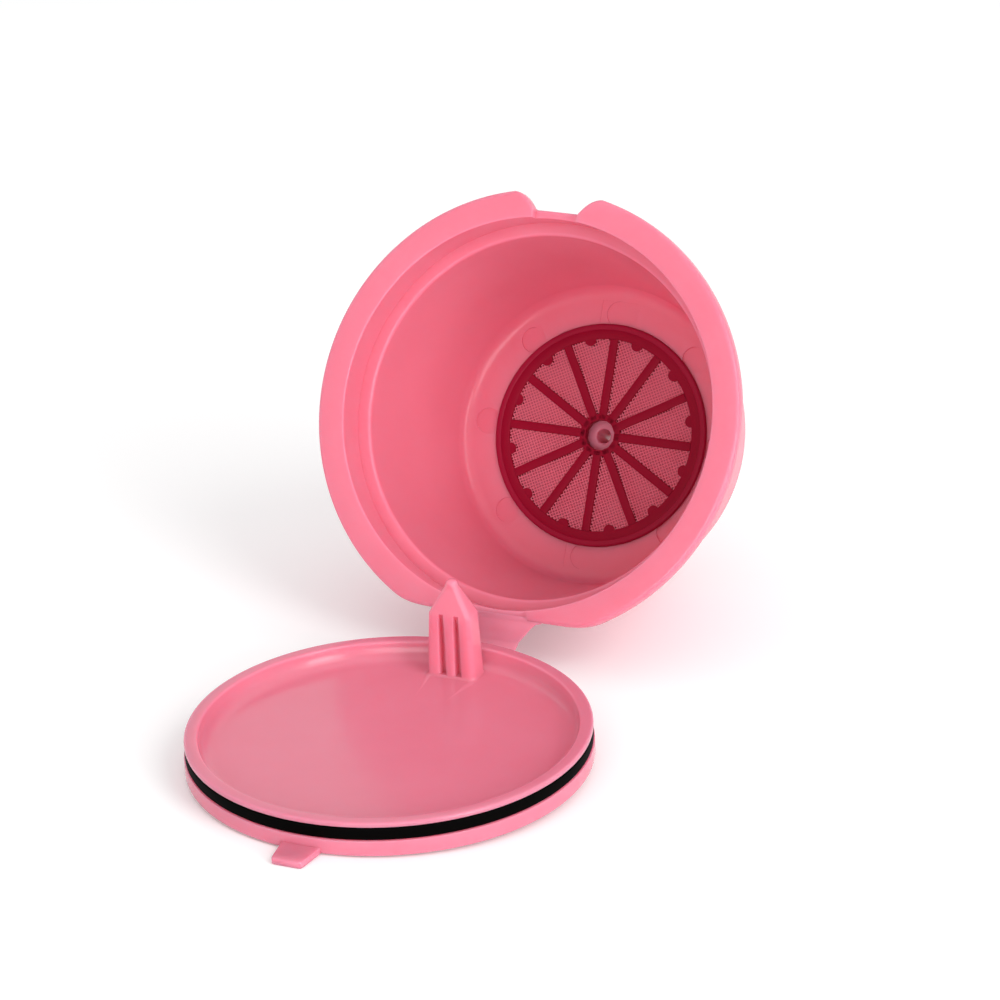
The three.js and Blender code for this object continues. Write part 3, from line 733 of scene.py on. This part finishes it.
def woven_threads(axis, way):
    """The threads that run along one axis, going over and under by one way or the other."""
    sheet = add(tree, "GeometryNodeMeshGrid", {"Size X": size["Width"], "Size Y": size["Width"],
                                               "Vertices X": size["Threads"], "Vertices Y": size["Threads"]})
    index = add(tree, "GeometryNodeInputIndex").outputs[0]
    column = maths("FLOOR", maths("DIVIDE", maths("ADD", index, 0.5), size["Threads"]), 0.0)
    row = maths("FLOORED_MODULO", index, size["Threads"])
    over = maths("FLOORED_MODULO", maths("ADD", column, row), 2.0)
    rise = maths("MULTIPLY", maths("SUBTRACT", over, 0.5), maths("MULTIPLY", size["Rise"], 2.0 * way))
    lift = add(tree, "ShaderNodeCombineXYZ", {"Z": rise})
    wavy = add(tree, "GeometryNodeSetPosition", {"Geometry": sheet.outputs[0], "Offset": lift.outputs[0]})
    place = add(tree, "GeometryNodeInputPosition")
    flat = add(tree, "ShaderNodeVectorMath", {0: place.outputs[0], 1: (1, 1, 0)}, operation="MULTIPLY")
    reach = add(tree, "ShaderNodeVectorMath", {0: flat.outputs[0]}, operation="LENGTH").outputs["Value"]
    outside = maths("GREATER_THAN", reach, size["Outer radius"])
    inside = maths("LESS_THAN", reach, size["Hole radius"])
    disc = add(tree, "GeometryNodeDeleteGeometry", {"Geometry": wavy.outputs[0],
                                                    "Selection": maths("MAXIMUM", outside, inside)})
    ends = add(tree, "GeometryNodeInputMeshEdgeVertices")
    along = add(tree, "ShaderNodeVectorMath", {0: ends.outputs["Position 1"], 1: ends.outputs["Position 2"]},
                operation="SUBTRACT")
    size_along = add(tree, "ShaderNodeVectorMath", {0: along.outputs[0]}, operation="ABSOLUTE")
    parts = add(tree, "ShaderNodeSeparateXYZ", {0: size_along.outputs[0]})
    across = maths("LESS_THAN", parts.outputs[axis], PITCH / 2)
    lines = add(tree, "GeometryNodeDeleteGeometry", {"Geometry": disc.outputs[0], "Selection": across},
                domain="EDGE")
    curves = add(tree, "GeometryNodeMeshToCurve", {"Mesh": lines.outputs[0]})
    section = add(tree, "GeometryNodeCurvePrimitiveCircle", {"Resolution": 4,
                                                             "Radius": size["Thread radius"]})
    strands = add(tree, "GeometryNodeCurveToMesh", {"Curve": curves.outputs[0],
                                                    "Profile Curve": section.outputs[0], "Fill Caps": True})
    return strands.outputs[0]


cloth = add(tree, "GeometryNodeJoinGeometry", {"Geometry": [woven_threads(0, 1), woven_threads(1, -1)]})
weave_mesh = grown(tree, weave_sizes, cloth.outputs[0], thread)
weave_height = -GRID_TOP_DEPTH - WEAVE_SINK
weave_place = cup_frame @ Matrix.Translation((0, 0, weave_height)) @ Matrix.Rotation(WEAVE_TURN, 4, "Z")
weave = placed(weave_mesh, "filter_mesh_fine", weave_place, thread, sharp_deg=180)
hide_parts("filter_mesh")
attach(weave, "cup")
print("weave:", threads, "threads each way,", len(weave_mesh.polygons), "faces")

# %% [markdown]
# ## The lid
# The lid is a round plug with a shallow recess and a groove for its ring. A tab stands out at
# the front, and a square post inside guides the water when the lid is shut. The round body is
# swept, the tab and the post are built from their own outlines, and booleans join them, as the
# moulding has no seams.

# %% The lid's round body
EDGE = 0.35
groove_r = LID_R - GROOVE_DEPTH
groove_top = BAND_H + GROOVE_H
lid_section = [
    (0, 0),
    (LID_R / 2, 0),
    *corner((LID_R - EDGE, 0), (LID_R, 0), (LID_R, EDGE), 5),
    *corner((LID_R, BAND_H - 0.1), (LID_R, BAND_H), (LID_R - 0.1, BAND_H), 2),
    (groove_r, BAND_H),
    (groove_r, groove_top),
    *corner((LIP_R - 0.15, groove_top), (LIP_R, groove_top), (LIP_R, groove_top + 0.15), 3),
    *corner((LIP_R, LID_H - EDGE), (LIP_R, LID_H), (LIP_R - EDGE, LID_H), 5),
    *corner((LIP_INNER_R + EDGE, LID_H), (LIP_INNER_R, LID_H), (LIP_INNER_R, LID_H - EDGE), 5),
    *corner((LIP_INNER_R - 0.2, LID_FLOOR_H + 0.9), (LIP_INNER_R - 0.5, LID_FLOOR_H),
            (LIP_INNER_R - 2.1, LID_FLOOR_H), 8),
    (LIP_INNER_R / 2, LID_FLOOR_H),
    (0, LID_FLOOR_H),
]
LID_STEPS = 220
lid_angles = [i * 2 * math.pi / LID_STEPS for i in range(LID_STEPS)]
lid_mesh = tidy(swept("lid_fine", [lid_section] * LID_STEPS, lid_angles, closed=False))
print("lid's body:", len(lid_mesh.polygons), "faces")

# %% The tab and the post
POST_W = 6
POST_TOP_W = 5.4
POST_DEPTH = 3.3
POST_TOP_DEPTH = 3
POST_BACK_Y = LID_R - 3
POST_MIDDLE_Y = POST_BACK_Y - POST_DEPTH / 2
POST_SHOULDER_H = 9.9
POST_TOP_H = 14
POST_FOOT_H = LID_FLOOR_H + 0.45
POST_TIP_ROUND = 0.5
POST_TIP_W = 1.1
SLOT_W = 0.7
SLOT_SPACING = 1.9
SLOT_DEPTH = 1.1
SLOT_TOP_H = 9.4


def rounded_rectangle(half_x, half_y, radius, steps=5):
    """The outline of a rectangle with round corners, centred on the origin."""
    outline = []
    for turn, (cx, cy) in enumerate(((1, 1), (-1, 1), (-1, -1), (1, -1))):
        for step in range(steps + 1):
            angle = (turn + step / steps) * math.pi / 2
            outline.append((cx * (half_x - radius) + radius * math.cos(angle),
                            cy * (half_y - radius) + radius * math.sin(angle)))
    return outline


def lofted(name, levels):
    """A closed body through outlines of equal length, each with its height and its middle's Y."""
    count = len(levels[0][0])
    points = [(x, y + shift, height) for outline, height, shift in levels for x, y in outline]
    faces = [tuple(range(count))[::-1], tuple(range(len(points) - count, len(points)))]
    for level in range(len(levels) - 1):
        for i in range(count):
            a, b = level * count + i, level * count + (i + 1) % count
            faces.append((a, b, b + count, a + count))
    mesh = bpy.data.meshes.new(name)
    mesh.from_pydata(points, [], faces)
    return tidy(mesh)


def post_level(height, half_x, half_y, radius):
    return rounded_rectangle(half_x, half_y, radius), height, POST_MIDDLE_Y


post_levels = []
for height, flare in ((1.5, 0.2), (LID_FLOOR_H, 0.2), (LID_FLOOR_H + 0.08, 0.1), (LID_FLOOR_H + 0.2, 0.03),
                      (POST_FOOT_H, 0)):
    post_levels.append(post_level(height, POST_W / 2 + flare, POST_DEPTH / 2 + flare, 0.7))
for share in np.linspace(0.1, 1, 6):
    height = POST_FOOT_H + share * (POST_SHOULDER_H - 0.3 - POST_FOOT_H)
    post_levels.append(post_level(height, (POST_W + (POST_TOP_W - POST_W) * share) / 2,
                                  (POST_DEPTH + (POST_TOP_DEPTH - POST_DEPTH) * share) / 2, 0.65))
for share in (0, 0.12, 0.3, 0.5, 0.7, 0.85):
    height = POST_SHOULDER_H + share * (POST_TOP_H - 0.25 - POST_SHOULDER_H)
    half_x = POST_TOP_W / 2 + share * (POST_TIP_W - POST_TOP_W) / 2 - 0.05
    half_y = POST_TOP_DEPTH / 2 + share * (POST_TIP_W - POST_TOP_DEPTH) / 2 - 0.05
    post_levels.append(post_level(height, half_x, half_y, min(half_x, half_y, 0.6)))
for angle_deg in (0, 30, 55, 80):
    reach = POST_TIP_W / 2 * math.cos(math.radians(angle_deg)) + 0.15
    height = POST_TOP_H - POST_TIP_ROUND + POST_TIP_ROUND * math.sin(math.radians(angle_deg))
    post_levels.append(post_level(height, reach, reach, reach * 0.95))
post_mesh = lofted("post", post_levels)

# A slot is widest at the post's face, so that the ribs beside it have round edges, and at its
# top it runs out to the face
slot_half = ((0.62, -0.5), (0.62, 0), (0.4, 0.12), (SLOT_W / 2, 0.35), (SLOT_W / 2 - 0.05, SLOT_DEPTH))
slot_outline = list(slot_half) + [(-half, depth) for half, depth in slot_half[::-1]]
slot_levels = ((LID_FLOOR_H + 0.25, 0), (SLOT_TOP_H - 1, 0), (SLOT_TOP_H, 0.45), (SLOT_TOP_H + 0.8, 1.05))
for x in (-SLOT_SPACING / 2, SLOT_SPACING / 2):
    for front in (-1, 1):
        levels = []
        for height, run_out in slot_levels:
            outline = [(px + x, front * (POST_DEPTH / 2 - depth + run_out)) for px, depth in slot_outline]
            levels.append((outline, height, POST_MIDDLE_Y))
        post_mesh = combine(post_mesh, lofted("slot", levels), "DIFFERENCE")

tab_half = ((LID_R - 2, 2.35), (LID_R, 2.35), (LID_R + TAB_REACH - 0.4, 1.9), (LID_R + TAB_REACH - 0.1, 1.75),
            (LID_R + TAB_REACH, 1.45))
tab_outline = [(half, -y) for y, half in tab_half] + [(-half, -y) for y, half in reversed(tab_half)]


def inset_outline(outline, by):
    """The tab's outline drawn in a little, for the rounded edges of its faces."""
    return [(x - math.copysign(by, x), y + (by if y < -LID_R - 1 else 0)) for x, y in outline]


tab_levels = [(inset_outline(tab_outline, by), height, 0)
              for height, by in ((0, 0.15), (0.04, 0.04), (0.15, 0), (TAB_T - 0.2, 0),
                                 (TAB_T - 0.05, 0.05), (TAB_T, 0.2))]
tab_mesh = lofted("tab", tab_levels)
lid_mesh = combine(lid_mesh, post_mesh, "UNION")
lid_mesh = combine(lid_mesh, tab_mesh, "UNION")
lid = placed(lid_mesh, "lid_fine", lid_frame, polished, sharp_deg=35)
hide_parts("lid")
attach(lid, "lid")
print("lid:", len(lid_mesh.polygons), "faces")

# %% [markdown]
# ## The strap
# A thin strap of the same plastic bends each time the lid moves. It is one strip that starts in
# the cup's wall, turns at the fold and ends in the lid's band. Its near end is placed in the cup's
# frame and its far end in the lid's, and the strip between them is built once, in the present pose.

# %% Living hinge
def strap_point(matrix, y, z):
    return matrix @ Vector((0, y, z))


STRAP_AT_CUP = ((OUTER_SEAT_R - SEAT_WALL / 2, 6.2), (OUTER_SEAT_R + 0.1, 6), (OUTER_SEAT_R + 0.3, 5.3),
                (OUTER_SEAT_R + 0.8, 4.8), (OUTER_SEAT_R + 1.5, 4.3), (FOLD_R - 1.2, 3.4))
STRAP_AT_LID = ((FOLD_R - 1.2, 2.9), (LID_R + 1.5, 3.1), (LID_R + 0.2, 3.7), (LID_R - 1, 4.1))
LEAF_SLOPE = 0.1
FOLD_STEPS = 12

strip = []
for y, half in STRAP_AT_CUP:
    depth = CHANNEL_DROP + STRAP_T / 2 + LEAF_SLOPE * (y - OUTER_SEAT_R)
    strip.append((strap_point(cup_frame, y, -depth), half))
fold_from, from_half = strip.pop()
fold_to = strap_point(lid_frame, STRAP_AT_LID[0][0], STRAP_T / 2)
fold_point = strap_point(lid_frame, FOLD_R + 0.25, FOLD_DEPTH)
fold_halves = np.linspace(from_half, STRAP_AT_LID[0][1], FOLD_STEPS + 1)
strip += zip([Vector(p) for p in corner(fold_from, fold_point, fold_to, FOLD_STEPS)], fold_halves)
strip += [(strap_point(lid_frame, y, STRAP_T / 2), half) for y, half in STRAP_AT_LID[1:]]
# The strip's section as shares of its half width and half thickness, with eased corners
STRIP_SECTION = ((-1, -0.6), (-0.98, -1), (0.98, -1), (1, -0.6), (1, 0.6), (0.98, 1), (-0.98, 1), (-1, 0.6))
sections = []
for i, (middle, half) in enumerate(strip):
    before, after = strip[max(i - 1, 0)][0], strip[min(i + 1, len(strip) - 1)][0]
    run = (after - before).normalized()
    out = Vector((1, 0, 0)).cross(run)
    sections.append([(x * half * MM, middle + out * (z * STRAP_T * MM / 2)) for x, z in STRIP_SECTION])
points = [(x, place.y, place.z) for section in sections for x, place in section]
ring_size = len(sections[0])
faces = [tuple(range(ring_size)), tuple(range(len(points) - ring_size, len(points)))[::-1]]
for level in range(len(sections) - 1):
    for i in range(ring_size):
        a, b = level * ring_size + i, level * ring_size + (i + 1) % ring_size
        faces.append((a, a + ring_size, b + ring_size, b))
strap_mesh = bpy.data.meshes.new("strap")
strap_mesh.from_pydata(points, [], faces)
shape = bmesh.new()
shape.from_mesh(strap_mesh)
bmesh.ops.recalc_face_normals(shape, faces=shape.faces)
shape.to_mesh(strap_mesh)
shape.free()
strap = placed(strap_mesh, "strap", Matrix.Identity(4), stretched, sharp_deg=50)
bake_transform(strap)
print("strap:", len(strap_mesh.polygons), "faces")

# %% [markdown]
# ## The sealing ring
# The ring is a rectangular band of silicone stretched into the lid's groove. Its outer corners
# are round, and it nearly fills the groove.

# %% Sealing ring
RING_SET_BACK = 0.12
RING_PLAY = 0.04
ring_inner = LID_R - GROOVE_DEPTH + GAP / 2
ring_outer = LID_R - RING_SET_BACK
ring_low = BAND_H + RING_PLAY
ring_high = groove_top - RING_PLAY
ring_section = [
    (ring_inner, ring_low),
    *corner((ring_outer - 0.3, ring_low), (ring_outer, ring_low), (ring_outer, ring_low + 0.3), 5),
    *corner((ring_outer, ring_high - 0.3), (ring_outer, ring_high), (ring_outer - 0.3, ring_high), 5),
    (ring_inner, ring_high),
]
ring_mesh = tidy(swept("sealing_ring_fine", [ring_section] * LID_STEPS, lid_angles, closed=True))
ring = placed(ring_mesh, "sealing_ring_fine", lid_frame, rubber)
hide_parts("sealing_ring")
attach(ring, "lid")
print("ring:", len(ring_mesh.polygons), "faces")

# %% View settings and the end
bpy.context.scene.view_settings.view_transform = "Standard"
